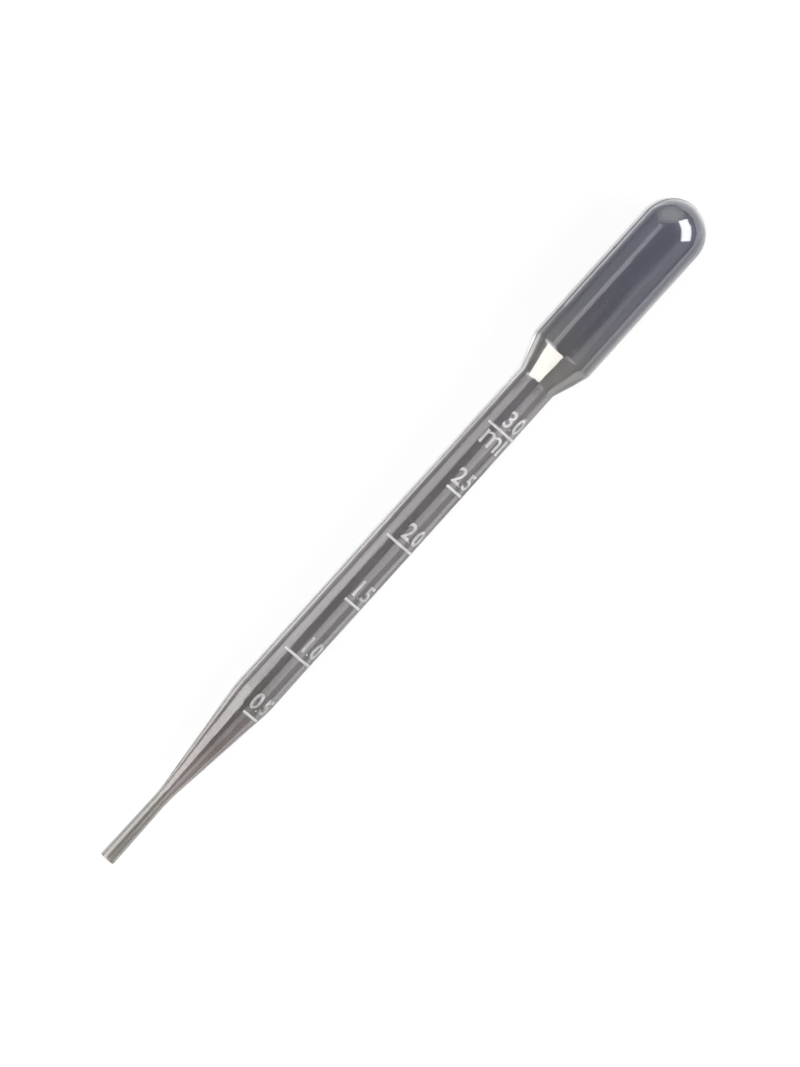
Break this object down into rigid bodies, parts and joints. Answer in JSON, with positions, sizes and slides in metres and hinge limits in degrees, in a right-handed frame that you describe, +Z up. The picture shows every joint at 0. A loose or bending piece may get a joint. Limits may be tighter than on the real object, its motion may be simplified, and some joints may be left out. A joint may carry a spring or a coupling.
{
  "type": "dropper pipette",
  "caption": "Graduated dropper pipette blown in one piece, with a drawn tip, a straight measuring stem and a squeeze bulb; draws up and drops small amounts of liquid.",
  "frame": {"origin": "centre of the pipette's bounding box, at the surface that it lies on", "axes": "+X along the length, from the open tip to the bulb; the axis itself rises 1.67 degrees from tip to bulb, because the pipette lies on the foot of its stem and on its wider bulb; +Y across, +Z up; the middle of the scale faces up and 36 degrees towards -Y"},
  "size_m": [0.155, 0.0126, 0.0134],
  "materials": {
    "clear_polyethylene": "thin blown polyethylene, clear with a smoky grey tint, smooth and glossy, whiter along its raised marks"
  },
  "bodies": {
    "root": {"pipette": "clear_polyethylene"}
  },
  "joints": []
}
